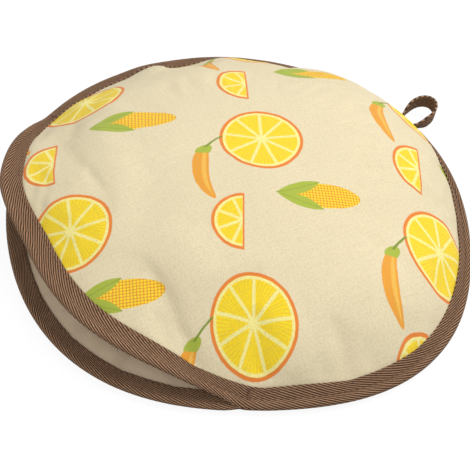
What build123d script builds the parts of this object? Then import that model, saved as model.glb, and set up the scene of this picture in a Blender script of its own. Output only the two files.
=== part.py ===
"""Cloth tortilla warmer: two round quilted pads bound together at the rim, with an open mouth.

The frame: Z is up and z = 0 is the flat underside. The origin is the middle of the pads. The
mouth faces -Y, and the hang loop is sewn into the rim at the back, near +Y. Millimetres and
degrees.

Each pad is a cover, a wadding and a lining. The bottom pad is a shallow dish. The top pad is a
puffed dome whose front lip stands open. The front of the top pad is a separate body that folds
up about the line between the two ends of the mouth.
"""

import os
from math import cos, pi, radians, sin

from build123d import *

# Rim: the plan outline of both pads, a circle that the sewing pulled slightly out of round.
RIM_RADIUS = 151.5
RIM_LOBES = (  # lobes round the rim, share of the radius, angle of the first lobe
    (2, 0.0060, 74.4),
    (3, 0.0038, 28.6),
    (4, 0.0154, 17.1),
    (5, 0.0086, 10.4),
)

# Cloths and wadding, measured upright
COVER = 0.5
LINING = 0.5
WADDING = 5.0
SEWN_WADDING = 1.0  # the wadding pressed flat under the rim stitching
LAYER_GAP = 0.15

# Bottom pad: a flat middle that curves up to the level rim
FLAT_RADIUS = 92.0
RIM_RISE = 3.5
FULL_WADDING_RADIUS = 108.0
SEWN_RADIUS = 139.0

# Top pad: a dome that swells up steeply just inside the binding
DOME_RISE = 54.0
DOME_RADIUS = 146.5  # where the dome begins to rise, inside the level sewn edge
SEAM_GAP = 0.3

# Mouth: centred on -Y
MOUTH_ANGLE = -90.0
MOUTH_HALF_ANGLE = 56.0
LIP_LIFT = 24.0
LIP_RETREAT = 10.0  # the lifted lip is drawn back from the rim on its right half
RETREAT_ANGLE = -72.0
RETREAT_HALF_ANGLE = 36.5
LIP_OVERHANG = 3.0  # and bulges past the rim on its left half
OVERHANG_ANGLE = -122.0
OVERHANG_HALF_ANGLE = 21.0

# Fold line of the mouth flap
FOLD_INSET_ANGLE = 1.5  # from each mouth end to the fold line's end
FOLD_GAP = 0.3
FLAP_END_ANGLE = 3.5  # the flap stops this far short of the fold line's ends

# Binding tape
TAPE = 0.8
BINDING_WIDTH = 10.0  # in plan; about 15 along the slope of the dome
LIP_BINDING_WIDTH = 12.5  # in plan, along the flatter lips of the mouth

# Hang loop: a narrow tape standing on edge, teardrop shaped in plan
LOOP_ANGLE = 98.0
LOOP_TAPE = 1.6
LOOP_TAPE_WIDTH = 9.0
LOOP_EYE_RADIUS = 7.0
LOOP_REACH = 23.5  # from the rim to the far end of the loop
LOOP_ROOT_RADIUS = 4.5
LOOP_PIVOT_RADIUS = 1.2
LOOP_FLARE = 12.0  # from the pivot to where the tape stands at its full width
LOOP_TILT_ANGLE = 14.0
LOOP_GAP = 0.6  # lets the loop fold up without its root catching the binding

# Powers of the bell curves: a higher one is flatter on top and steeper at its foot
SWEEP_POWER = 3
LIFT_POWER = 4
PADDING_POWER = 4

# Powers of the dome: a higher crown is flatter on top, and a lower shoulder is fuller at its foot
DOME_CROWN = 3
DOME_SHOULDER = 0.9
LIP_SHOULDER = 1.3

# Derived sizes
BINDING = TAPE + LAYER_GAP
SEWN_STACK = COVER + LAYER_GAP + SEWN_WADDING + LAYER_GAP + LINING
SEAM_HEIGHT = RIM_RISE + 2 * SEWN_STACK + SEAM_GAP
WIDEST = 1 + sum(share for count, share, first in RIM_LOBES)
REACH = RIM_RADIUS * WIDEST + BINDING_WIDTH  # past the rim on every side
TALL = 2 * (SEAM_HEIGHT + DOME_RISE)  # past the top, and as far below the underside
FLAP_HALF_ANGLE = MOUTH_HALF_ANGLE - FOLD_INSET_ANGLE
FOLD_Y = -RIM_RADIUS * cos(radians(FLAP_HALF_ANGLE))
FLAP_Y = FOLD_Y - FOLD_GAP / 2  # the flap's straight edge
BACK_Y = FOLD_Y + FOLD_GAP / 2  # the straight edge of what lies behind it

# Fineness of the curves
OUTLINE_POINTS = 72
DOME_POINTS = 11
SECTION_POINTS = 11
FLAP_SECTIONS = 27


def bell(share, power):
    """A smooth hump: 1 at 0, 0 at +-1 and beyond."""
    return (1 + cos(pi * min(abs(share), 1) ** power)) / 2


def rim_radius(angle):
    """Plan radius of the bottom pad at an angle."""
    lobes = sum(share * cos(radians(count * (angle - first))) for count, share, first in RIM_LOBES)
    return RIM_RADIUS * (1 + lobes)


def lip_radius(angle):
    """Plan radius of the mouth flap's edge."""
    retreat = LIP_RETREAT * bell((angle - RETREAT_ANGLE) / RETREAT_HALF_ANGLE, SWEEP_POWER)
    overhang = LIP_OVERHANG * bell((angle - OVERHANG_ANGLE) / OVERHANG_HALF_ANGLE, SWEEP_POWER)
    return rim_radius(angle) - retreat + overhang


def padding(radius):
    """Thickness of the top wadding."""
    return SEWN_WADDING + (WADDING - SEWN_WADDING) * bell(radius / RIM_RADIUS, PADDING_POWER)


def dome_height(radius, shoulder=DOME_SHOULDER):
    """Height of the top cover's outer face, with the lip down."""
    return SEAM_HEIGHT + DOME_RISE * (1 - min(radius / DOME_RADIUS, 1) ** DOME_CROWN) ** shoulder


def flap_height(angle, radius):
    """Height of the top cover's outer face on the mouth flap."""
    fold_radius = FOLD_Y / sin(radians(angle))
    share = (radius - fold_radius) / (lip_radius(angle) - fold_radius)
    lift = LIP_LIFT * bell((angle - MOUTH_ANGLE) / MOUTH_HALF_ANGLE, LIFT_POWER)
    shoulder = DOME_SHOULDER + (LIP_SHOULDER - DOME_SHOULDER) * share
    swept_radius = radius + (DOME_RADIUS - lip_radius(angle)) * share
    return dome_height(swept_radius, shoulder) + lift * share


def at(angle, radius, height):
    """A point by its angle, plan radius and height."""
    return Vector(radius * cos(radians(angle)), radius * sin(radians(angle)), height)


def outline_prism(extra):
    """A tall prism on the rim's outline, widened by extra."""
    points = []
    for i in range(OUTLINE_POINTS):
        angle = 360 * i / OUTLINE_POINTS
        points.append(at(angle, rim_radius(angle) + extra, -TALL))
    outline = Spline(*points, periodic=True)
    return extrude(make_face(outline), amount=2 * TALL, dir=(0, 0, 1))


# Half sections, as lines from the axis outwards


def dish_line(offset):
    """The bottom cover's underside, moved up by offset."""
    flat_end, level_start = (FLAT_RADIUS, offset), (SEWN_RADIUS, RIM_RISE + offset)
    rise = Spline(flat_end, level_start, tangents=[(1, 0), (1, 0)])
    return [Line((0, offset), flat_end), rise, Line(level_start, (REACH, RIM_RISE + offset))]


def padding_line(offset):
    """The bottom wadding's upper face, moved up by offset."""
    level = COVER + LAYER_GAP + offset
    flat_end = (FULL_WADDING_RADIUS, level + WADDING)
    level_start = (SEWN_RADIUS, RIM_RISE + level + SEWN_WADDING)
    shoulder = Spline(flat_end, level_start, tangents=[(1, 0), (1, 0)])
    outside = Line(level_start, (REACH, level_start[1]))
    return [Line((0, level + WADDING), flat_end), shoulder, outside]


def lining_line(offset):
    """The bottom lining's upper face, moved up by offset."""
    return padding_line(LAYER_GAP + LINING + offset)


def dome_line(offset, padding_share=0):
    """The top cover's outer face less a share of the wadding, moved up by offset."""
    points = []
    for i in range(DOME_POINTS):
        radius = DOME_RADIUS * sin(pi / 2 * i / (DOME_POINTS - 1))
        height = dome_height(radius) - padding_share * padding(radius) + offset
        points.append(Vector(radius, height))
    curve = Spline(*points, tangents=[(1, 0), points[-1] - points[-2]])
    return [curve, Line(points[-1], (REACH, points[-1].Y))]


def turned(lower, upper):
    """The solid of revolution between two half sections."""
    ends = [Line(lower[0] @ 0, upper[0] @ 0), Line(lower[-1] @ 1, upper[-1] @ 1)]
    return revolve(Plane.XZ * make_face(lower + ends + upper), Axis.Z)


# The mouth flap, lofted through radial sections


def flap_angles():
    """The angles of the flap's sections, closer together at the ends of the mouth."""
    half = FLAP_HALF_ANGLE - FLAP_END_ANGLE
    return [MOUTH_ANGLE - half * cos(pi * i / (FLAP_SECTIONS - 1)) for i in range(FLAP_SECTIONS)]


def flap_curve(angle, start, end, drop, padding_share):
    """A line on the flap, from radius start to end, below the outer face by drop and wadding."""
    points = []
    for i in range(SECTION_POINTS):
        radius = start + (end - start) * (1 - cos(pi * i / (SECTION_POINTS - 1))) / 2
        height = flap_height(angle, radius) - drop - padding_share * padding(radius)
        points.append(at(angle, radius, height))
    return Spline(*points)


def closed_wire(curves):
    """A wire through the curves in order, with straight lines between their ends."""
    edges = []
    for this, following in zip(curves, curves[1:] + curves[:1]):
        edges += [this, Line(this @ 1, following @ 0)]
    return Wire(edges)


def flap_layer(top_drop, top_share, bottom_drop, bottom_share):
    """One layer of the flap, from the fold line to the lip."""
    sections = []
    for angle in flap_angles():
        fold = FLAP_Y / sin(radians(angle))
        lip = lip_radius(angle)
        upper = flap_curve(angle, fold, lip, top_drop, top_share)
        lower = flap_curve(angle, lip, fold, bottom_drop, bottom_share)
        sections.append(closed_wire([upper, lower]))
    return Solid.make_loft(sections)


def flap_binding():
    """The tape folded round the flap's lip."""
    underside = COVER + LINING + 2 * LAYER_GAP
    sections = []
    for angle in flap_angles():
        lip = lip_radius(angle)
        inner = max(lip - LIP_BINDING_WIDTH, FLAP_Y / sin(radians(angle)))
        outer_fold = lip + BINDING
        inner_fold = lip + LAYER_GAP
        outside_top = flap_curve(angle, inner, outer_fold, -BINDING, 0)
        outside_bottom = flap_curve(angle, outer_fold, inner, underside + BINDING, 1)
        inside_bottom = flap_curve(angle, inner, inner_fold, underside + LAYER_GAP, 1)
        inside_top = flap_curve(angle, inner_fold, inner, -LAYER_GAP, 0)
        sections.append(closed_wire([outside_top, outside_bottom, inside_bottom, inside_top]))
    return Solid.make_loft(sections)


# Halves and bindings of the turned pads


def front(solid):
    """The share of a solid in front of the fold line."""
    depth = REACH + FLAP_Y
    return solid & Pos(0, depth / 2 - REACH, 0) * Box(2 * REACH, depth, 2 * TALL)


def back(solid):
    """The share of a solid behind the fold line."""
    depth = REACH - BACK_Y
    return solid & Pos(0, REACH - depth / 2, 0) * Box(2 * REACH, depth, 2 * TALL)


def binding(floor_at, ceiling_at, width):
    """The tape folded round the rim, between two families of half sections."""
    outer = outline_prism(BINDING) & turned(floor_at(-BINDING), ceiling_at(BINDING))
    core = outline_prism(LAYER_GAP) & turned(floor_at(-LAYER_GAP), ceiling_at(LAYER_GAP))
    return outer - core - outline_prism(-width)


def hang_loop():
    """The loop, built flat round its pivot with X outwards, then tilted and set on the rim."""
    eye_x = LOOP_REACH - BINDING - LOOP_GAP - LOOP_PIVOT_RADIUS - LOOP_EYE_RADIUS - LOOP_TAPE
    plan = []
    for inset in (0, LOOP_TAPE):
        eye = Pos(eye_x, 0) * Circle(LOOP_EYE_RADIUS + LOOP_TAPE - inset)
        root = Circle(LOOP_ROOT_RADIUS - inset)
        plan.append(make_hull(eye.edges() + root.edges()))
    band = extrude(plan[0] - plan[1], LOOP_TAPE_WIDTH / 2, both=True)
    length = LOOP_REACH - LOOP_FLARE
    standing = Pos(LOOP_FLARE + length / 2, 0) * Rectangle(length, LOOP_TAPE_WIDTH)
    profile = make_hull(Circle(LOOP_PIVOT_RADIUS).edges() + standing.edges())
    band = band & extrude(Plane.XZ * profile, LOOP_REACH, both=True)
    pivot_radius = rim_radius(LOOP_ANGLE) + BINDING + LOOP_GAP + LOOP_PIVOT_RADIUS
    pivot_height = RIM_RISE + SEWN_STACK + SEAM_GAP / 2
    place = Rot(0, 0, LOOP_ANGLE) * Pos(pivot_radius, 0, pivot_height)
    return place * Rot(0, -LOOP_TILT_ANGLE, 0) * band


def save(node, shape):
    """Write one node's solid to its own file."""
    solids = shape.solids()
    print(node, len(solids), round(sum(solid.volume for solid in solids)))
    export_step(solids[0] if len(solids) == 1 else Compound(children=solids), f"parts/{node}.step")


os.makedirs("parts", exist_ok=True)

# Bottom pad
rim = outline_prism(0)
bottom_lining = turned(padding_line(LAYER_GAP), lining_line(0))
save("bottom_cover", rim & turned(dish_line(0), dish_line(COVER)))
save("bottom_wadding", rim & turned(dish_line(COVER + LAYER_GAP), padding_line(0)))
save("bottom_lining", rim & bottom_lining)

# Top pad, behind the fold line and in front of it
wadding_drop = COVER + LAYER_GAP
lining_drop = wadding_drop + LAYER_GAP
layers = (  # name, then the drop and the share of wadding above its upper and its lower face
    ("cover", 0, 0, COVER, 0),
    ("wadding", wadding_drop, 0, wadding_drop, 1),
    ("lining", lining_drop, 1, lining_drop + LINING, 1),
)
for name, top_drop, top_share, bottom_drop, bottom_share in layers:
    ring = turned(dome_line(-bottom_drop, bottom_share), dome_line(-top_drop, top_share))
    save(f"top_{name}_back", back(rim & ring))
    save(f"top_{name}_flap", flap_layer(top_drop, top_share, bottom_drop, bottom_share))

# Binding tape and hang loop
save("seam_binding", back(binding(dish_line, dome_line, BINDING_WIDTH)))
save("bottom_lip_binding", front(binding(dish_line, lining_line, LIP_BINDING_WIDTH)))
save("top_lip_binding", flap_binding())
save("hang_loop", hang_loop())
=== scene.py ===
"""Dresses the cloth tortilla warmer: printed cover, quilted lining, twill binding and hang loop.

Lengths are in metres and angles in degrees. The mouth faces -Y and the hang loop is at the back.
"""

from math import atan2, cos, degrees, exp, hypot, pi, radians, sin, tan

import bmesh
import bpy
from mathutils import Matrix, Vector, noise
from mathutils.bvhtree import BVHTree


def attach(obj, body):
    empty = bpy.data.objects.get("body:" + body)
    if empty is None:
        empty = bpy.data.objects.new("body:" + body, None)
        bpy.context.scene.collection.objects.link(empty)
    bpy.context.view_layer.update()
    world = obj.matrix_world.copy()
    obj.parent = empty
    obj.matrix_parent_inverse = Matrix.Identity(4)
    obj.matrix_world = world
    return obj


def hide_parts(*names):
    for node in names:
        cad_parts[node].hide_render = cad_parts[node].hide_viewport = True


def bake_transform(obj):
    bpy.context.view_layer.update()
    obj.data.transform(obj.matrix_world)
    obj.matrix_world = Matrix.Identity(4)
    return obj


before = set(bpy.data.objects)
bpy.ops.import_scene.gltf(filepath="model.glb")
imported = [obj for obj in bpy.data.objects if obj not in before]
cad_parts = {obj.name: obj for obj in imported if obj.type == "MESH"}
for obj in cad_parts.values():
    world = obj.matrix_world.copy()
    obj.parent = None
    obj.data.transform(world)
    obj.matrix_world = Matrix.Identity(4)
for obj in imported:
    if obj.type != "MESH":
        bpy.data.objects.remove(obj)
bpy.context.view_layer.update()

UP = Vector((0, 0, 1))

# Rim: the outline of the bound edge, as in the solids
RIM_RADIUS = 0.1525
RIM_LOBES = ((2, 0.0060, 74.4), (3, 0.0038, 28.6), (4, 0.0154, 17.1), (5, 0.0086, 10.4))

# Heights of the sewn edge, from the underside up
RIM_RISE = 0.0035
SEWN_STACK = 0.0020
PAD_GAP = 0.0001
LAYER_GAP = 0.0001  # between cloths that lie on each other
SEAM_TOP = RIM_RISE + 2 * SEWN_STACK + PAD_GAP
CLOTH = 0.0005
WADDING = 0.0050

# Bottom pad
FLAT_RADIUS = 0.092
LEVEL_RADIUS = 0.139
FLOOR_EDGE = 0.004  # of the bottom pad, where it is pressed flat
FLOOR_RAMP = 0.030  # over which the wadding comes to its full thickness
LIP_ROLL = 0.0030  # the bottom pad's lip is plumper just inside its tape
LIP_ROLL_INSET = 0.017
LIP_ROLL_WIDTH = 0.011

# Top pad
DOME_RISE = 0.0540
DOME_CROWN = 3  # power of the dome's top: a higher one is flatter in the middle
SEWN_SHARE = 0.985  # of the pad's radius, where it is pressed flat under the tape
SHOULDER = 1.0  # power of the dome's shoulder: a lower one is fuller beside the tape
LIP_SHOULDER = 1.3
SHOULDER_TURNS = ((96, 40, -0.2), (172, 52, 0.35))  # angle, half angle and change of that power
MOUTH_ANGLE = -90
MOUTH_HALF_ANGLE = 59
LIP_LIFT = 0.0235
LIP_RETREAT = 0.010
RETREAT_TURN = (-72, 46)  # angle and half angle of the part that draws back
LIP_OVERHANG = 0.003
OVERHANG_TURN = (-125, 28)
FOLD_LINE = 0.0886  # from the middle to the line about which the lip lifts
FOLD_SOFTNESS = 0.25
MOUTH_END_SPAN = 6  # degrees in which the tape's lower leg leaves the bottom pad
WIDER_TAPE_SPAN = 30  # degrees in which the lip's tape takes its greater share of the cover
LINING_CREASES = (-128, -114, -101, -87.4, -74, -59.9, -47)  # angles, along the lower lip
CREASE_DEPTH = 0.0030
CREASE_HALF_ANGLE = 3.0
CREASE_POWER = 0.6  # below 1, so that the crease comes to a sharp line

# Binding tape, 30 mm wide before it is folded round the edge
TAPE = 0.0008
TAPE_WIDTH = 0.030
TAPE_COVERS = 0.0072  # of each pad, in plan
LIP_TAPE_COVERS = 0.0112
TAPE_ROOM = 0.0032  # from the pads' edge to the outside of the folded tape
FOLD_SHARE = 0.3  # of the tape's half width, taken up by the fold
TAPE_LIFT = 0.0003  # of the upper leg over the puckered cover
STITCH_INSET = 0.0058
STITCH_PITCH = 0.0032
THREAD = 0.0005

# Puffing of the cover
CLOTH_GROWTH = 0.03
CLOTH_PRESSURE = 2
CLOTH_STRETCH = 12  # its stiffness against stretching and compression
CLOTH_SHEAR = 6
CLOTH_BENDING = 0.5
CLOTH_MASS = 0.1
SWELL_BAND = (0.35, 0.955)  # shares of the radius between which the cloth is free
SWELL_ONSET = 0.15  # share over which it becomes free, from the middle outwards
SWELL_END = 0.02  # share over which it becomes held again, beside the tape
SWELL_FRAMES = 24
SWELL_LIMIT = 0.0045
LIP_TAPE_SHARE = 0.025  # by which the lip's wider tape draws the free band in
PATCH_SIZE = 0.05  # of the patches that grow more and less

# Quilting of the lining
QUILT_PITCH = 0.040
QUILT_DEPTH = 0.0016
QUILT_FADE = 0.25  # share of the radius over which the quilting fades out at the sewn edge
WADDING_REACH = 0.95  # share of the radius at which the wadding ends, beside the tape
WADDING_GAP = 0.0004  # that the top wadding keeps from its cover, and twice that inwards
WADDING_EASE = 0.15  # share of the radius over which that gap grows

# Radii of the round cloths, laid flat
TOP_COVER_FLAT = 0.166
TOP_LINING_FLAT = 0.160
BOTTOM_COVER_FLAT = 0.154
BOTTOM_LINING_FLAT = 0.156

# Bar tacks at the ends of the mouth
TACK_STITCHES = 8
TACK_PITCH = 0.0008
TACK_LENGTH = 0.0030
TACK_THREAD = 0.0006

# Hang loop
LOOP_ANGLE = 98
LOOP_REACH = 0.0235
LOOP_ROOT_DEPTH = 0.0035
LOOP_HALF_SPREAD = 0.0035
LOOP_SIDE = 0.0068
LOOP_WIDTH = 0.0100
LOOP_ROOT_WIDTH = 0.0040
LOOP_THICKNESS = 0.0015
LOOP_TILT = 14
LOOP_LENGTH = 0.074  # of its tape, from seam to seam

# The camera
VIEW_AZIMUTH = 52
VIEW_ELEVATION = 49.68
VIEW_ROLL = -9.2
VIEW_DISTANCE = 0.63125
VIEW_FIELD = 26
AIM_RIGHT = -0.0026
AIM_AHEAD = -0.0331
AIM_UP = 0.020

# How bright the surroundings are
ROOM_LIGHT = 0.46
ROOM_SEEN = 0.54  # more than that, where the camera looks at it
FLOOR_GLOW = 1.14
FLOOR_SEEN = 0.80  # share of the glow, where the camera looks at it


# ---- The shape of the cloth --------------------------------------------------------------------


def window(angle, centre, half, power, foot=1.5):
    """1 at the centre angle, falling smoothly to 0 at half degrees to either side."""
    offset = abs((angle - centre + 180) % 360 - 180)
    return (1 - (offset / half) ** power) ** foot if offset < half else 0


def ease(share):
    """A smooth step from 0 to 1."""
    share = max(0, min(1, share))
    return share * share * (3 - 2 * share)


def ripple(x, y, z, size, height):
    """Soft irregular unevenness, size across and height high."""
    return height * noise.noise(Vector((x, y, z)) / size)


def rim_radius(angle):
    """Plan radius of the bound edge."""
    lobes = sum(share * cos(radians(count * (angle - first))) for count, share, first in RIM_LOBES)
    return RIM_RADIUS * (1 + lobes)


def pad_radius(angle):
    """Plan radius of the bottom pad's edge, inside its tape."""
    return rim_radius(angle) - TAPE_ROOM


def lip_radius(angle):
    """Plan radius of the top pad's edge."""
    retreat = LIP_RETREAT * window(angle, *RETREAT_TURN, 3)
    overhang = LIP_OVERHANG * window(angle, *OVERHANG_TURN, 3)
    return pad_radius(angle) - retreat + overhang


def lifted(angle, radius):
    """How far the open mouth lifts the top pad: 0 behind the fold line, 1 at the middle of the lip."""
    edge = lip_radius(angle)
    fold = min(FOLD_LINE / max(0.01, -sin(radians(angle))), 0.9 * edge)
    share = max(0, (radius - fold) / (edge - fold))
    whole = hypot(1, FOLD_SOFTNESS) - FOLD_SOFTNESS
    raised_share = (hypot(share, FOLD_SOFTNESS) - FOLD_SOFTNESS) / whole
    return raised_share * window(angle, MOUTH_ANGLE, MOUTH_HALF_ANGLE, 4)


def mouth_opening(angle, span=MOUTH_END_SPAN):
    """0 along the closed seam and 1 along the mouth, which it becomes over span degrees."""
    offset = abs((angle - MOUTH_ANGLE + 180) % 360 - 180)
    return ease((MOUTH_HALF_ANGLE + 1 - offset) / span)


PUFFS = (  # angle, half angle, share of the radius, half share, height of each puff of the cover
    (-153, 9, 0.89, 0.11, 0.0040),
    (178, 8, 0.90, 0.12, 0.0060),
    (168, 8, 0.82, 0.17, -0.0085),
    (155, 11, 0.89, 0.13, 0.0034),
    (43, 12, 0.90, 0.10, 0.0034),
    (-28, 5, 0.84, 0.18, -0.0026),
    (-17, 8, 0.88, 0.14, 0.0022),
    (-6, 4, 0.86, 0.17, -0.0024),
    (6, 8, 0.88, 0.13, 0.0020),
)


def puffing(share, angle):
    """Extra height of the cover where the wadding pushes it out beside the binding."""
    return sum(
        height
        * window(angle, centre, half, 2, 2)
        * window(share * 100, at * 100, half_share * 100, 2, 2)
        for centre, half, at, half_share, height in PUFFS
    )


def around(angle, radius, height):
    """A point by its angle, plan radius and height."""
    return Vector((radius * cos(radians(angle)), radius * sin(radians(angle)), height))


def cover_point(share, angle):
    """A point on the top cover's outer face; share is 0 at the middle and 1 at the edge."""
    share = min(share, 1)
    radius = share * lip_radius(angle)
    open_share = lifted(angle, radius)
    shoulder = SHOULDER + (LIP_SHOULDER - SHOULDER) * open_share
    shoulder += sum(change * window(angle, centre, half, 4) for centre, half, change in SHOULDER_TURNS)
    dome = DOME_RISE * (1 - min(1, share / SEWN_SHARE) ** DOME_CROWN) ** shoulder
    height = SEAM_TOP + dome + LIP_LIFT * open_share
    point = around(angle, radius, height + puffing(share, angle))
    point.z += (1 - share) ** 0.5 * ripple(point.x, point.y, 0, 0.055, 0.0016)
    return point


def top_padding(share):
    """Thickness of the top pad from its cover's outer face to its lining's inner face."""
    return SEWN_STACK + WADDING * (1 - share**4) ** 1.5


def roof_point(share, angle):
    """A point on the top lining's inner face, before quilting."""
    return cover_point(share, angle) - UP * top_padding(min(share, 1))


def underside_point(share, angle):
    """A point on the bottom cover's outer face."""
    radius = min(share, 1) * pad_radius(angle)
    rise = ease((radius - FLAT_RADIUS) / (LEVEL_RADIUS - FLAT_RADIUS))
    return around(angle, radius, RIM_RISE * rise)


def floor_point(share, angle):
    """A point on the bottom lining's inner face, before quilting."""
    share = min(share, 1)
    inset = (1 - share) * pad_radius(angle)
    padding = SEWN_STACK + WADDING * ease((inset - FLOOR_EDGE) / FLOOR_RAMP)
    creases = sum(window(angle, at, CREASE_HALF_ANGLE, CREASE_POWER, 1) for at in LINING_CREASES)
    near_lip = mouth_opening(angle) * exp(-(((inset - LIP_ROLL_INSET) / LIP_ROLL_WIDTH) ** 2))
    roll = (LIP_ROLL - CREASE_DEPTH * creases) * near_lip
    return underside_point(share, angle) + UP * (padding + roll)


def quilting(point):
    """How far the quilting rows draw the lining in, at a point in plan."""
    across, along = (point.x + point.y) / 2**0.5, (point.x - point.y) / 2**0.5
    pillow = abs(sin(pi * across / QUILT_PITCH) * sin(pi * along / QUILT_PITCH))
    return QUILT_DEPTH * (1 - pillow**0.45)


def edge_fade(share):
    """1 over the pad and 0 at its sewn edge."""
    return ease((1 - share) / QUILT_FADE)


def roof_lining_point(share, angle):
    """A point on the quilted top lining, which its rows draw up."""
    plain = roof_point(share, angle)
    return plain + UP * quilting(plain) * edge_fade(share)


def floor_lining_point(share, angle):
    """A point on the quilted bottom lining, which its rows draw down."""
    plain = floor_point(share, angle)
    return plain - UP * quilting(plain) * edge_fade(share)


def roof_quilt_row(share, angle):
    """The height to which a quilting row draws up the top lining."""
    return roof_point(share, angle) + UP * QUILT_DEPTH * edge_fade(share)


def floor_quilt_row(share, angle):
    """The height to which a quilting row draws down the bottom lining."""
    return floor_point(share, angle) - UP * QUILT_DEPTH * edge_fade(share)


def raised(surface, share, angle, height):
    """A point that stands off a surface by height, along the surface's normal."""
    here = surface(share, angle)
    outwards = surface(share, angle) - surface(share - 0.004, angle)
    sideways = surface(share, angle + 0.4) - surface(share, angle - 0.4)
    return here + outwards.cross(sideways).normalized() * height


# ---- Building meshes ---------------------------------------------------------------------------


def finish_mesh(name, bm, material):
    """Turns a bmesh into a smooth-shaded object with one material."""
    mesh = bpy.data.meshes.new(name)
    bm.to_mesh(mesh)
    bm.free()
    mesh.polygons.foreach_set("use_smooth", [True] * len(mesh.polygons))
    mesh.materials.append(material)
    piece = bpy.data.objects.new(name, mesh)
    bpy.context.scene.collection.objects.link(piece)
    return piece


def thicken(piece, thickness, offset):
    """Gives a sheet its thickness."""
    solid = piece.modifiers.new("thickness", "SOLIDIFY")
    solid.thickness = thickness
    solid.offset = offset
    solid.use_even_offset = False
    return piece


def flat_disc(spokes, rings):
    """A disc of unit radius in rings and spokes, closed at its middle."""
    bm = bmesh.new()
    spoke = [bm.verts.new((i / rings, 0, 0)) for i in range(rings + 1)]
    edges = [bm.edges.new(pair) for pair in zip(spoke, spoke[1:])]
    bmesh.ops.spin(
        bm,
        geom=spoke + edges,
        cent=(0, 0, 0),
        axis=(0, 0, 1),
        angle=2 * pi,
        steps=spokes,
        use_merge=True,
    )
    bmesh.ops.remove_doubles(bm, verts=bm.verts[:], dist=1e-6)
    bmesh.ops.recalc_face_normals(bm, faces=bm.faces[:])
    if bm.faces[:][0].normal.z < 0:
        bmesh.ops.reverse_faces(bm, faces=bm.faces[:])
    return bm


def lay_cloth(bm, verts, surface, reach):
    """Moves a flat disc's points onto a surface, with a map of the flat cloth in metres."""
    cloth = bm.loops.layers.uv.verify()
    flat = {}
    for vert in verts:
        flat[vert] = vert.co.xy * reach
        share, angle = vert.co.xy.length, degrees(atan2(vert.co.y, vert.co.x))
        vert.co = surface(share, angle)
    for face in bm.faces:
        for loop in face.loops:
            if loop.vert in flat:
                loop[cloth].uv = flat[loop.vert]


def refine(piece):
    """Rounds a mesh off with one finer level."""
    finer = piece.modifiers.new("finer", "SUBSURF")
    finer.levels = 1
    finer.render_levels = 1
    return piece


def cloth_disc(name, surface, reach, material, spokes=192, rings=64):
    """One round cloth on a surface."""
    bm = flat_disc(spokes, rings)
    lay_cloth(bm, bm.verts, surface, reach)
    return finish_mesh(name, bm, material)


def swell(piece):
    """Lets a sewn cloth grow a little by a cloth simulation, so that it puckers beside its seam."""
    held = piece.vertex_groups.new(name="held")
    tight = piece.vertex_groups.new(name="tight")
    before = [vert.co.copy() for vert in piece.data.vertices]
    for vert in piece.data.vertices:
        angle = degrees(atan2(vert.co.y, vert.co.x))
        share = hypot(vert.co.x, vert.co.y) / lip_radius(angle)
        edge = SWELL_BAND[1] - LIP_TAPE_SHARE * mouth_opening(angle, WIDER_TAPE_SPAN)
        free = ease((share - SWELL_BAND[0]) / SWELL_ONSET) * ease((edge - share) / SWELL_END)
        uneven = 0.5 + ripple(vert.co.x, vert.co.y, 0, PATCH_SIZE, 0.9)
        held.add([vert.index], 1 - free, "REPLACE")
        tight.add([vert.index], 1 - max(0, min(1, free * uneven)), "REPLACE")
    cloth = piece.modifiers.new("cloth", "CLOTH")
    settings = cloth.settings
    settings.quality = 6
    settings.mass = CLOTH_MASS
    settings.tension_stiffness = CLOTH_STRETCH
    settings.compression_stiffness = CLOTH_STRETCH
    settings.shear_stiffness = CLOTH_SHEAR
    settings.bending_stiffness = CLOTH_BENDING
    settings.vertex_group_mass = "held"
    settings.vertex_group_shrink = "tight"
    settings.shrink_min = -CLOTH_GROWTH
    settings.use_pressure = True
    settings.uniform_pressure_force = CLOTH_PRESSURE
    settings.effector_weights.gravity = 0
    cloth.collision_settings.use_collision = False
    cloth.point_cache.frame_end = SWELL_FRAMES
    for number in range(1, SWELL_FRAMES + 1):
        bpy.context.scene.frame_set(number)
    shaped = piece.evaluated_get(bpy.context.evaluated_depsgraph_get()).data
    after = [vert.co.copy() for vert in shaped.vertices]
    piece.modifiers.remove(cloth)
    piece.vertex_groups.clear()
    bpy.context.scene.frame_set(1)
    for vert, old, new in zip(piece.data.vertices, before, after):
        moved = new - old
        vert.co = old + moved * min(1, SWELL_LIMIT / max(moved.length, 1e-9))


def inside_cover(cover, share, angle):
    """A point that lies inside the top cover, also where its mesh has sunk between two folds."""
    gap = CLOTH + WADDING_GAP + WADDING_GAP * ease((WADDING_REACH - share) / WADDING_EASE)
    point = cover_point(share, angle) - UP * gap
    face, normal = cover.find_nearest(point)[:2]
    depth = (face - point).dot(normal)
    return face - normal * gap if depth < gap else point


def wadding_disc(name, lower, upper, material, spokes=144, rings=36):
    """A closed round wadding between two surfaces, as far out as it reaches."""
    bm = flat_disc(spokes, rings)
    copied = bmesh.ops.duplicate(bm, geom=bm.verts[:] + bm.edges[:] + bm.faces[:])["geom"]
    below = [part for part in copied if isinstance(part, bmesh.types.BMVert)]
    above = [vert for vert in bm.verts if vert not in set(below)]
    lay_cloth(bm, above, lambda share, angle: upper(share * WADDING_REACH, angle), RIM_RADIUS)
    lay_cloth(bm, below, lambda share, angle: lower(share * WADDING_REACH, angle), RIM_RADIUS)
    bmesh.ops.bridge_loops(bm, edges=[edge for edge in bm.edges if edge.is_boundary])
    bmesh.ops.recalc_face_normals(bm, faces=bm.faces[:])
    return finish_mesh(name, bm, material)


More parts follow.
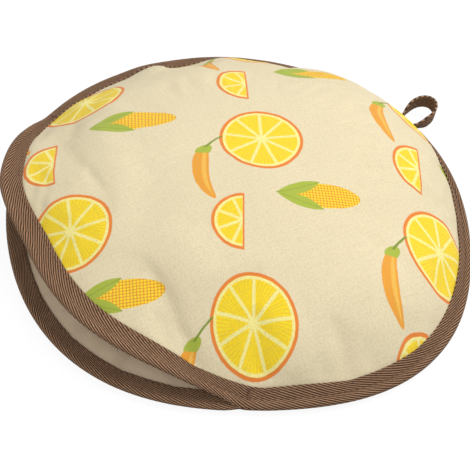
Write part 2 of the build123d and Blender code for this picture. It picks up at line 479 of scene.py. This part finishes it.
def tape_band(name, first, last, steps, section, material, rows=28):
    """A tape that runs round the rim; section gives its point at an angle, from -1 to 1 across it."""
    bm = bmesh.new()
    column = [bm.verts.new((1, 0, 2 * i / rows - 1)) for i in range(rows + 1)]
    edges = [bm.edges.new(pair) for pair in zip(column, column[1:])]
    bmesh.ops.spin(
        bm,
        geom=column + edges,
        cent=(0, 0, 0),
        axis=(0, 0, 1),
        angle=radians(last - first),
        steps=steps,
    )
    weave = bm.loops.layers.uv.verify()
    bm.verts.index_update()
    station = {}
    for vert in bm.verts:
        turned = degrees(atan2(vert.co.y, vert.co.x)) % 360
        station[vert] = (turned, vert.co.z)
    for face in bm.faces:
        turns = [station[loop.vert][0] for loop in face.loops]
        for loop in face.loops:
            turned, across = station[loop.vert]
            if turned < 180 and max(turns) > 350:
                turned += 360
            loop[weave].uv = (radians(turned) * RIM_RADIUS, across * TAPE_WIDTH / 2)
    for vert, (turned, across) in station.items():
        vert.co = section(first + turned, across)
    return thicken(finish_mesh(name, bm, material), TAPE, 0)


# ---- Materials ---------------------------------------------------------------------------------


class Finish:
    """The nodes of one material."""

    def __init__(self, name, roughness):
        self.material = bpy.data.materials.new(name)
        self.material.use_nodes = True
        self.tree = self.material.node_tree
        self.shader = self.tree.nodes["Principled BSDF"]
        self.shader.inputs["Roughness"].default_value = roughness

    def node(self, kind, **settings):
        made = self.tree.nodes.new(kind)
        for name, value in settings.items():
            setattr(made, name, value)
        return made

    def feed(self, socket, value):
        if isinstance(value, bpy.types.NodeSocket):
            self.tree.links.new(value, socket)
        else:
            socket.default_value = value

    def math(self, operation, *values, clamp=False):
        made = self.node("ShaderNodeMath", operation=operation, use_clamp=clamp)
        for socket, value in zip(made.inputs, values):
            self.feed(socket, value)
        return made.outputs[0]

    def add(self, *values):
        total = values[0]
        for value in values[1:]:
            total = self.math("ADD", total, value)
        return total

    def times(self, *values):
        total = values[0]
        for value in values[1:]:
            total = self.math("MULTIPLY", total, value)
        return total

    def less(self, first, second):
        return self.math("SUBTRACT", first, second)

    def length(self, x, y):
        return self.math("SQRT", self.add(self.times(x, x), self.times(y, y)))

    def both(self, first, second):
        return self.math("MINIMUM", first, second)

    def either(self, first, second):
        return self.math("MAXIMUM", first, second)

    def inside(self, depth, blur=0.35):
        """0 where depth is below 0, and up to 1 where it is above, over a soft edge blur wide."""
        return self.math("MULTIPLY", depth, 1 / blur, clamp=True)

    def blend(self, share, first, second):
        made = self.node("ShaderNodeMix", data_type="RGBA", clamp_factor=True)
        self.feed(made.inputs[0], share)
        self.feed(made.inputs[6], first)
        self.feed(made.inputs[7], second)
        return made.outputs[2]

    def clouds(self, vector, scale, detail=2.0):
        made = self.node("ShaderNodeTexNoise")
        self.feed(made.inputs["Vector"], vector)
        made.inputs["Scale"].default_value = scale
        made.inputs["Detail"].default_value = detail
        return made.outputs["Fac"]

    def stretched(self, vector, x, y):
        """The same coordinates, scaled apart along their two axes."""
        made = self.node("ShaderNodeMapping")
        self.feed(made.inputs["Vector"], vector)
        made.inputs["Scale"].default_value = (x, y, 1)
        return made.outputs["Vector"]

    def own_map(self):
        """The piece's own flat map, as a vector in metres and as x and y in millimetres."""
        vector = self.node("ShaderNodeTexCoord").outputs["UV"]
        parts = self.node("ShaderNodeSeparateXYZ")
        self.feed(parts.inputs[0], vector)
        return vector, self.times(parts.outputs[0], 1000.0), self.times(parts.outputs[1], 1000.0)

    def bump(self, height, distance, strength=1.0):
        made = self.node("ShaderNodeBump")
        made.inputs["Distance"].default_value = distance
        made.inputs["Strength"].default_value = strength
        self.feed(made.inputs["Height"], height)
        self.feed(self.shader.inputs["Normal"], made.outputs[0])

    def colour(self, value):
        self.feed(self.shader.inputs["Base Color"], value)
        return self.material


def rgb(red, green, blue):
    """A colour by its screen values from 0 to 255."""
    return tuple((value / 255) ** 2.2 for value in (red, green, blue)) + (1.0,)


def plain_weave(finish, vector, x, y, pitch):
    """Height of a plain weave of warp and weft, 0 to 1, with thicker and thinner threads."""
    warp_slubs = finish.clouds(finish.stretched(vector, 2500, 60), 1.0)
    weft_slubs = finish.clouds(finish.stretched(vector, 60, 2500), 1.0)
    warp = finish.math("SINE", finish.times(x, 2 * pi / pitch))
    weft = finish.math("SINE", finish.times(y, 2 * pi / pitch))
    crossings = finish.times(warp, weft, 0.22)
    return finish.add(crossings, finish.times(warp_slubs, 0.5), finish.times(weft_slubs, 0.5))


PRINT_COLUMN = 118.0  # millimetres from one column of the print to the next
PRINT_ROW = 150.0
CREAM = rgb(234, 220, 184)
RIND = rgb(238, 128, 44)
PITH = rgb(253, 240, 150)
PULP = rgb(253, 226, 30)
DEEP_PULP = rgb(250, 198, 26)
CHILLI = rgb(240, 160, 48)
CHILLI_LIGHT = rgb(248, 196, 84)
LEAF = rgb(168, 186, 62)
LEAF_DARK = rgb(122, 146, 48)
KERNEL = rgb(253, 224, 44)
KERNEL_GAP = rgb(238, 150, 34)


def print_place(finish, x, y, middle, turn):
    """Coordinates round one motif of the print, which repeats in columns with a half drop."""
    from_middle = finish.less(x, middle[0])
    column = finish.math("ROUND", finish.times(from_middle, 1 / PRINT_COLUMN))
    along = finish.less(from_middle, finish.times(column, PRINT_COLUMN))
    drop = finish.times(finish.math("WRAP", column, 2.0, 0.0), PRINT_ROW / 2)
    dropped = finish.less(finish.less(y, middle[1]), drop)
    up = finish.math("WRAP", dropped, PRINT_ROW / 2, -PRINT_ROW / 2)
    c, s = cos(radians(turn)), sin(radians(turn))
    turned_x = finish.add(finish.times(along, c), finish.times(up, s))
    turned_y = finish.less(finish.times(up, c), finish.times(along, s))
    return turned_x, turned_y


def citrus_wheel(finish, ground, x, y, radius, segments, cut=None):
    """A slice across a citrus fruit; cut leaves only the part above that y."""
    out = finish.length(x, y)
    body = finish.less(radius, out)
    if cut is not None:
        body = finish.both(body, finish.less(y, cut))
    half = pi / segments
    slant = finish.math("ABSOLUTE", finish.math("WRAP", finish.math("ARCTAN2", y, x), half, -half))
    to_membrane = finish.times(out, finish.math("SINE", finish.less(half, slant)))
    flesh = finish.both(finish.less(to_membrane, 0.9), finish.less(radius - 4.2, out))
    flesh = finish.both(flesh, finish.less(out, 3.0))
    flesh = finish.both(flesh, finish.less(body, 1.4))
    around_core = finish.times(finish.math("ARCTAN2", y, x), 61.0)
    streaks = finish.math("SINE", finish.add(around_core, finish.times(out, 0.5)))
    pulp = finish.blend(finish.times(finish.add(streaks, 1.0), 0.35), PULP, DEEP_PULP)
    pith = finish.both(finish.less(body, 1.2), finish.less(radius - 2.2, out))
    shown = finish.blend(finish.inside(body), ground, RIND)
    shown = finish.blend(finish.inside(pith), shown, PITH)
    return finish.blend(finish.inside(flesh), shown, pulp)


def leaf(finish, ground, x, y, length, width, colour):
    """A pointed leaf from the origin along x, with a midrib."""
    share = finish.times(x, 1 / length)
    hump = finish.times(share, finish.less(1.0, share), 4.0)
    depth = finish.less(finish.times(hump, width / 2), finish.math("ABSOLUTE", y))
    shown = finish.blend(finish.inside(depth), ground, colour)
    rib = finish.both(depth, finish.less(0.35, finish.math("ABSOLUTE", y)))
    return finish.blend(finish.inside(rib), shown, LEAF_DARK)


def chilli_pod(finish, ground, x, y):
    """A curved chilli with a green cap and stalk, about 50 long."""
    bent = finish.less(y, finish.times(finish.times(x, x), 0.014))
    share = finish.times(finish.add(x, 20.0), 1 / 46.0)
    past_cap = finish.either(share, 0.0)
    taper = finish.less(1.0, finish.math("POWER", past_cap, 1.8))
    fullness = finish.times(taper, finish.math("POWER", past_cap, 0.5))
    half_width = finish.times(finish.math("SQRT", finish.either(fullness, 0.0)), 8.4)
    depth = finish.less(half_width, finish.math("ABSOLUTE", bent))
    depth = finish.both(depth, finish.times(share, 46.0))
    shown = finish.blend(finish.inside(depth), ground, CHILLI)
    shine = finish.both(finish.less(depth, 1.8), finish.less(bent, 0.6))
    shown = finish.blend(finish.times(finish.inside(shine), 0.75), shown, CHILLI_LIGHT)
    cap = finish.less(5.2, finish.length(finish.add(x, 18.5), finish.times(bent, 0.95)))
    cap = finish.both(cap, finish.less(-15.8, x))
    shown = finish.blend(finish.inside(cap), shown, LEAF)
    off_stalk = finish.add(bent, finish.times(finish.add(x, 22.0), 0.25))
    stalk = finish.less(1.2, finish.math("ABSOLUTE", off_stalk))
    stalk = finish.both(stalk, finish.both(finish.add(x, 33.0), finish.less(-21.0, x)))
    return finish.blend(finish.inside(stalk), shown, LEAF_DARK)


def corn_cob(finish, ground, x, y):
    """A sweetcorn cob between two husk leaves, about 60 long."""
    share = finish.times(x, 1 / 27.0)
    round_end = finish.math("SQRT", finish.either(finish.less(1.0, finish.times(share, share)), 0.0))
    depth = finish.less(finish.times(round_end, 9.6), finish.math("ABSOLUTE", y))
    rows = finish.math("SINE", finish.times(y, 2 * pi / 3.9))
    ranks = finish.math("SINE", finish.times(x, 2 * pi / 4.4))
    kernels = finish.times(finish.math("ABSOLUTE", rows), finish.math("ABSOLUTE", ranks))
    cob = finish.blend(finish.inside(finish.less(kernels, 0.22), 0.3), KERNEL_GAP, KERNEL)
    shown = finish.blend(finish.inside(depth), ground, cob)
    for side in (-1, 1):
        c, s = cos(radians(20)), side * sin(radians(20))
        away_x, away_y = finish.add(x, 31.0), finish.add(y, side * 0.5)
        husk_x = finish.add(finish.times(away_x, c), finish.times(away_y, s))
        husk_y = finish.less(finish.times(away_y, c), finish.times(away_x, s))
        shown = leaf(finish, shown, husk_x, husk_y, 33.0, 9.0, LEAF)
    return shown


def printed_cotton():
    finish = Finish("printed_cotton", 0.88)
    vector, x, y = finish.own_map()
    weave = plain_weave(finish, vector, x, y, 0.62)
    wobble_x = finish.add(x, finish.times(finish.less(finish.clouds(vector, 260.0), 0.5), 0.7))
    wobble_y = finish.add(y, finish.times(finish.less(finish.clouds(vector, 240.0), 0.5), 0.7))
    shade = finish.clouds(vector, 28.0, 4.0)
    shown = finish.blend(finish.times(shade, 0.30), CREAM, rgb(226, 210, 170))
    whole_slice = print_place(finish, wobble_x, wobble_y, (-8, 12), 12)
    shown = citrus_wheel(finish, shown, *whole_slice, 29.0, 9)
    shown = corn_cob(finish, shown, *print_place(finish, wobble_x, wobble_y, (52, 22), 64))
    shown = chilli_pod(finish, shown, *print_place(finish, wobble_x, wobble_y, (-2, -42), -28))
    half_slice = print_place(finish, wobble_x, wobble_y, (50, -38), 150)
    shown = citrus_wheel(finish, shown, *half_slice, 22.0, 8, cut=-1.0)
    grain = finish.add(finish.times(weave, 0.5), finish.times(finish.clouds(vector, 850.0, 3.0), 0.5))
    threads = finish.times(finish.less(grain, 0.5), 1.6)
    shown = finish.blend(finish.math("ADD", threads, 0.12, clamp=True), shown, rgb(168, 148, 108))
    finish.bump(weave, 0.00028)
    finish.shader.inputs["Sheen Weight"].default_value = 0.12
    finish.shader.inputs["Specular IOR Level"].default_value = 0.25
    return finish.colour(shown)


def quilted_lining():
    finish = Finish("quilted_lining", 0.9)
    vector, x, y = finish.own_map()
    weave = plain_weave(finish, vector, x, y, 0.7)
    shade = finish.clouds(vector, 40.0, 3.0)
    shown = finish.blend(shade, rgb(232, 210, 180), rgb(212, 188, 158))
    threads = finish.times(finish.less(weave, 0.5), 0.6)
    shown = finish.blend(finish.math("ADD", threads, 0.12, clamp=True), shown, rgb(150, 126, 100))
    finish.bump(weave, 0.0003)
    finish.shader.inputs["Sheen Weight"].default_value = 0.15
    finish.shader.inputs["Specular IOR Level"].default_value = 0.25
    return finish.colour(shown)


RIB_PITCH = 1.35  # millimetres from one twill rib to the next
PICK_PITCH = 1.1  # and from one thread to the next along a rib
RIB_ANGLE = -20  # of the ribs to the tape's length
CHEVRON = 15.0  # millimetres from the tape's middle to where the ribs turn back


def twill_tape():
    finish = Finish("twill_tape", 0.82)
    vector, x, y = finish.own_map()
    folded = finish.math("PINGPONG", y, CHEVRON)
    c, s = cos(radians(RIB_ANGLE)), sin(radians(RIB_ANGLE))
    slope = finish.less(finish.times(folded, c), finish.times(x, s))
    along = finish.add(finish.times(x, c), finish.times(folded, s))
    wander = finish.times(finish.less(finish.clouds(vector, 420.0), 0.5), 0.5)
    ribs = finish.math("SINE", finish.times(finish.add(slope, wander), 2 * pi / RIB_PITCH))
    rib = finish.times(finish.add(ribs, 1.0), 0.5)
    leaning = finish.add(along, finish.times(slope, 0.6))
    picks = finish.math("SINE", finish.times(leaning, 2 * pi / PICK_PITCH))
    thread = finish.math("POWER", rib, 1.5)
    yarn = finish.add(finish.times(thread, 0.8), finish.times(picks, rib, 0.2))
    shade = finish.clouds(vector, 90.0, 3.0)
    light = finish.blend(shade, rgb(212, 168, 130), rgb(180, 138, 104))
    # Painted shade: the grooves between the twill's ribs are painted near-black brown by rib height, and
    # the ridges keep the tape's random tone.
    shown = finish.blend(finish.math("ADD", yarn, 0.0, clamp=True), rgb(54, 32, 21), light)
    finish.bump(yarn, 0.00045)
    finish.shader.inputs["Specular IOR Level"].default_value = 0.3
    return finish.colour(shown)


def fibre_wadding():
    finish = Finish("wadding", 0.95)
    vector = finish.own_map()[0]
    fluff = finish.clouds(vector, 700.0, 6.0)
    finish.bump(fluff, 0.0006)
    return finish.colour(finish.blend(fluff, rgb(232, 230, 222), rgb(250, 249, 245)))


def sewing_thread(name, light, dark):
    finish = Finish(name, 0.6)
    where = finish.node("ShaderNodeTexCoord").outputs["Object"]
    twist = finish.clouds(where, 2600.0)
    finish.bump(twist, 0.0001)
    return finish.colour(finish.blend(twist, dark, light))


# ---- The pieces --------------------------------------------------------------------------------


def mixed(share, first, second):
    return first * (1 - share) + second * share


def folded_tape(top, low, radius, covers, across):
    """A point of a folded tape between an upper and a lower surface, each given by its share."""
    side = abs(across)
    if side > FOLD_SHARE:
        inset = covers * (side - FOLD_SHARE) / (1 - FOLD_SHARE)
        return (top if across < 0 else low)(1 - inset / radius)
    upper, lower = top(1), low(1)
    turn = radians(90 * across / FOLD_SHARE)
    outwards = Vector((upper.x, upper.y, 0)).normalized() * (TAPE_ROOM - TAPE / 2) * cos(turn)
    return mixed((1 + sin(turn)) / 2, upper, lower) + outwards


def rim_tape_section(angle, across):
    """The tape round the closed seam and along the upper lip."""
    opening = mouth_opening(angle)
    uneven = ripple(cos(radians(angle)), sin(radians(angle)), across * 0.1, 0.12, 0.0003)

    def top(share):
        return raised(cover_point, share, angle, TAPE / 2 + TAPE_LIFT + uneven)

    def low(share):
        closed = underside_point(share, angle) - UP * (TAPE / 2 + LAYER_GAP)
        open_lip = roof_point(share, angle) - UP * (TAPE / 2 + LAYER_GAP)
        return mixed(opening, closed, open_lip)

    covers = mixed(mouth_opening(angle, WIDER_TAPE_SPAN), TAPE_COVERS, LIP_TAPE_COVERS)
    return folded_tape(top, low, lip_radius(angle), covers, across)


def lower_tape_section(angle, across):
    """The tape along the lower lip, whose ends run in under the rim tape."""
    opening = mouth_opening(angle)
    tucked = 1 - 0.012 * (1 - opening)

    def top(share):
        return floor_point(share * tucked, angle) + UP * (TAPE / 2 + LAYER_GAP) * opening

    def low(share):
        return underside_point(share * tucked, angle) - UP * (TAPE / 2) * opening

    return folded_tape(top, low, pad_radius(angle), TAPE_COVERS, across)


def add_stitch(bm, middle, along, length, thick):
    """One stitch of thread, lying along a direction."""
    turn = along.to_track_quat("X", "Z").to_matrix().to_4x4()
    size = Matrix.Diagonal((length / 2, thick / 2, thick / 2, 1))
    place = Matrix.Translation(middle) @ turn @ size
    bmesh.ops.create_icosphere(bm, subdivisions=1, radius=1, matrix=place)


def stitch_row(name, place, first, last, material):
    """A row of stitches round the rim; place gives the row's point at an angle."""
    bm = bmesh.new()
    step = degrees(STITCH_PITCH / RIM_RADIUS)
    for i in range(int((last - first) / step)):
        angle = first + (i + 0.5) * step
        along = place(angle + step / 2) - place(angle - step / 2)
        add_stitch(bm, place(angle), along, STITCH_PITCH * 0.8, THREAD)
    return finish_mesh(name, bm, material)


def quilt_stitches(name, surface, offset, material):
    """The rows of thread that quilt a lining, in diamonds."""
    bm = bmesh.new()
    step = STITCH_PITCH * 1.1
    for row in range(-3, 4):
        for turn in (45, 135):
            along = around(turn, 1, 0)
            aside = around(turn + 90, row * QUILT_PITCH, 0)
            for i in range(int(2 * RIM_RADIUS / step)):
                spot = aside + along * (i * step - RIM_RADIUS)
                angle = degrees(atan2(spot.y, spot.x))
                share = spot.length / min(pad_radius(angle), lip_radius(angle))
                if share < 0.90:
                    ahead = spot + along * step / 2
                    ahead_angle = degrees(atan2(ahead.y, ahead.x))
                    here = surface(share, angle)
                    there = surface(share * ahead.length / spot.length, ahead_angle)
                    add_stitch(bm, here + UP * offset, there - here, step * 0.75, THREAD)
    return finish_mesh(name, bm, material)


def loop_point(share, across):
    """A point of the hang loop: share runs along the tape, across from -1 to 1 over its width."""
    turn = 2 * pi * share
    out = (LOOP_REACH + LOOP_ROOT_DEPTH) * (1 - cos(turn)) / 2 - LOOP_ROOT_DEPTH
    side = LOOP_SIDE * sin(turn) * 1.25 * abs(sin(turn / 2)) ** 0.8 + LOOP_HALF_SPREAD * cos(turn / 2)
    width = LOOP_ROOT_WIDTH + (LOOP_WIDTH - LOOP_ROOT_WIDTH) * ease((out - 0.001) / 0.010)
    middle = RIM_RISE + SEWN_STACK + max(out, 0) * tan(radians(LOOP_TILT))
    outwards, sideways = around(LOOP_ANGLE, 1, 0), around(LOOP_ANGLE - 90, 1, 0)
    plan = outwards * (rim_radius(LOOP_ANGLE) + out) + sideways * side
    return plan + UP * (middle + across * width / 2)


def hang_loop(material):
    bm = bmesh.new()
    bmesh.ops.create_grid(bm, x_segments=96, y_segments=8, size=1)
    weave = bm.loops.layers.uv.verify()
    for face in bm.faces:
        for loop in face.loops:
            share, across = (loop.vert.co.x + 1) / 2, loop.vert.co.y
            loop[weave].uv = (share * LOOP_LENGTH, across * LOOP_WIDTH / 2)
    for vert in bm.verts:
        vert.co = loop_point((vert.co.x + 1) / 2, vert.co.y)
    return thicken(finish_mesh("hang_loop_tape", bm, material), LOOP_THICKNESS, 0)


def bar_tack(name, angle, material):
    """Close stitches across the tape where the mouth ends."""
    bm = bmesh.new()
    for i in range(TACK_STITCHES):
        inset = TACK_PITCH + TACK_PITCH * i
        share = 1 - inset / lip_radius(angle)
        middle = raised(cover_point, share, angle, TAPE + THREAD)
        ahead = raised(cover_point, share, angle + 0.5, TAPE + THREAD)
        add_stitch(bm, middle, ahead - middle, TACK_LENGTH, TACK_THREAD)
    return finish_mesh(name, bm, material)


cotton, lining_cloth, twill = printed_cotton(), quilted_lining(), twill_tape()
batting = fibre_wadding()
brown_thread = sewing_thread("brown_thread", rgb(136, 100, 72), rgb(84, 58, 42))
pale_thread = sewing_thread("pale_thread", rgb(190, 172, 154), rgb(150, 134, 118))

top_cover = cloth_disc("top_cover", cover_point, TOP_COVER_FLAT, cotton)
swell(top_cover)
refine(top_cover)
cover_faces = BVHTree.FromObject(top_cover, bpy.context.evaluated_depsgraph_get())
thicken(top_cover, CLOTH, -1)
top_lining = cloth_disc("roof_lining", roof_lining_point, TOP_LINING_FLAT, lining_cloth)
thicken(refine(top_lining), CLOTH, 1)
top_wadding = wadding_disc(
    "top_fill",
    lambda share, angle: roof_quilt_row(share, angle) + UP * (CLOTH + LAYER_GAP),
    lambda share, angle: inside_cover(cover_faces, share, angle),
    batting,
)
bottom_cover = cloth_disc("bottom_cloth", underside_point, BOTTOM_COVER_FLAT, cotton, 180, 40)
thicken(refine(bottom_cover), CLOTH, 1)
bottom_lining = cloth_disc(
    "floor_lining", floor_lining_point, BOTTOM_LINING_FLAT, lining_cloth, 288, 42
)
thicken(refine(bottom_lining), CLOTH, -1)
bottom_wadding = wadding_disc(
    "bottom_fill",
    lambda share, angle: underside_point(share, angle) + UP * (CLOTH + LAYER_GAP),
    lambda share, angle: floor_quilt_row(share, angle) - UP * (CLOTH + LAYER_GAP),
    batting,
)

rim_tape = tape_band("rim_tape", LOOP_ANGLE, LOOP_ANGLE + 360, 420, rim_tape_section, twill)
lower_lip_tape = tape_band(
    "lower_lip_tape",
    MOUTH_ANGLE - MOUTH_HALF_ANGLE - 4,
    MOUTH_ANGLE + MOUTH_HALF_ANGLE + 4,
    150,
    lower_tape_section,
    twill,
)
loop_tape = hang_loop(twill)

TOP_ROW = -(FOLD_SHARE + (1 - FOLD_SHARE) * STITCH_INSET / TAPE_COVERS)
rim_stitches = stitch_row(
    "rim_stitches",
    lambda angle: rim_tape_section(angle, TOP_ROW) + UP * TAPE * 0.55,
    LOOP_ANGLE,
    LOOP_ANGLE + 360,
    brown_thread,
)
under_stitches = stitch_row(
    "under_stitches",
    lambda angle: rim_tape_section(angle, -TOP_ROW) - UP * TAPE * 0.5,
    LOOP_ANGLE,
    LOOP_ANGLE + 360,
    brown_thread,
)
lower_lip_stitches = stitch_row(
    "lower_lip_stitches",
    lambda angle: lower_tape_section(angle, TOP_ROW) + UP * TAPE * 0.55,
    MOUTH_ANGLE - MOUTH_HALF_ANGLE,
    MOUTH_ANGLE + MOUTH_HALF_ANGLE,
    brown_thread,
)
floor_quilting = quilt_stitches("floor_quilting", floor_quilt_row, LAYER_GAP, pale_thread)
roof_quilting = quilt_stitches("roof_quilting", roof_quilt_row, -LAYER_GAP, pale_thread)
left_tack = bar_tack("left_bar_tack", MOUTH_ANGLE - MOUTH_HALF_ANGLE - 1, brown_thread)
right_tack = bar_tack("right_bar_tack", MOUTH_ANGLE + MOUTH_HALF_ANGLE + 1, brown_thread)

# ---- Bodies and hidden solids ------------------------------------------------------------------

for piece in (bottom_cover, bottom_lining, bottom_wadding, lower_lip_tape, lower_lip_stitches):
    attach(piece, "base")
for piece in (floor_quilting, left_tack, right_tack):
    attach(piece, "base")
for piece in (top_cover, top_lining, top_wadding, rim_tape, rim_stitches, under_stitches, roof_quilting):
    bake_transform(piece)
loop_root = rim_radius(LOOP_ANGLE)
around(LOOP_ANGLE, loop_root - 0.001, 0.006)
around(LOOP_ANGLE, loop_root + 0.007, 0.006)
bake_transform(loop_tape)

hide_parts("top_cover_back", "top_cover_flap")
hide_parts("top_wadding_back", "top_wadding_flap")
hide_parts("top_lining_back", "top_lining_flap")
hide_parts("bottom_cover")
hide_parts("bottom_wadding")
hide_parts("bottom_lining")
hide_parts("seam_binding", "top_lip_binding")
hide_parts("bottom_lip_binding")
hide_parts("hang_loop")

# ---- Floor, light and camera -------------------------------------------------------------------


def pale_floor():
    """A pale floor that the camera sees as white, apart from the shadow that lies on it."""
    bm = bmesh.new()
    bmesh.ops.create_grid(bm, x_segments=8, y_segments=8, size=3)
    finish = Finish("pale_floor", 0.9)
    finish.shader.inputs["Base Color"].default_value = rgb(186, 186, 186)
    seen = finish.node("ShaderNodeLightPath").outputs["Is Camera Ray"]
    glow = finish.node("ShaderNodeEmission")
    glow.inputs["Strength"].default_value = FLOOR_GLOW
    mix = finish.node("ShaderNodeMixShader")
    finish.feed(mix.inputs[0], finish.times(seen, FLOOR_SEEN))
    finish.feed(mix.inputs[1], finish.shader.outputs[0])
    finish.feed(mix.inputs[2], glow.outputs[0])
    finish.feed(finish.tree.nodes["Material Output"].inputs["Surface"], mix.outputs[0])
    floor = finish_mesh("floor", bm, finish.material)


def light_room():
    """A pale room that shows white behind the object."""
    world = bpy.data.worlds.new("room")
    world.use_nodes = True
    bpy.context.scene.world = world
    tree = world.node_tree
    backdrop = tree.nodes["Background"]
    backdrop.inputs["Color"].default_value = (1, 1, 1, 1)
    path = tree.nodes.new("ShaderNodeLightPath")
    strength = tree.nodes.new("ShaderNodeMath")
    strength.operation = "MULTIPLY_ADD"
    tree.links.new(path.outputs["Is Camera Ray"], strength.inputs[0])
    strength.inputs[1].default_value = ROOM_SEEN
    strength.inputs[2].default_value = ROOM_LIGHT
    tree.links.new(strength.outputs[0], backdrop.inputs["Strength"])


def add_lamp(name, azimuth, elevation, distance, size, power):
    """A soft square lamp aimed at the pouch."""
    data = bpy.data.lights.new(name, "AREA")
    data.size = size
    data.energy = power
    lamp = bpy.data.objects.new(name, data)
    a, e = radians(azimuth), radians(elevation)
    back = Vector((sin(a) * cos(e), -cos(a) * cos(e), sin(e)))
    lamp.location = back * distance
    lamp.rotation_mode = "QUATERNION"
    lamp.rotation_quaternion = back.to_track_quat("Z", "Y")
    bpy.context.scene.collection.objects.link(lamp)


def add_camera():
    a, e, roll = radians(VIEW_AZIMUTH), radians(VIEW_ELEVATION), radians(VIEW_ROLL)
    back = Vector((sin(a) * cos(e), -cos(a) * cos(e), sin(e)))
    level = Vector((cos(a), sin(a), 0))
    ahead = Vector((-sin(a), cos(a), 0))
    upright = back.cross(level)
    aim = level * AIM_RIGHT + ahead * AIM_AHEAD + UP * AIM_UP
    right = level * cos(roll) - upright * sin(roll)
    above = level * sin(roll) + upright * cos(roll)
    data = bpy.data.cameras.new("camera")
    data.sensor_width = 36
    data.lens = 18 / tan(radians(VIEW_FIELD / 2))
    camera = bpy.data.objects.new("camera", data)
    axes = Matrix((right, above, back)).transposed()
    camera.matrix_world = Matrix.Translation(aim + back * VIEW_DISTANCE) @ axes.to_4x4()
    bpy.context.scene.collection.objects.link(camera)
    bpy.context.scene.camera = camera


pale_floor()
light_room()
add_lamp("key_lamp", 172, 60, 1.4, 0.9, 16)
add_lamp("fill_lamp", 10, 42, 1.6, 1.2, 7)
add_camera()
bpy.context.scene.view_settings.view_transform = "Standard"
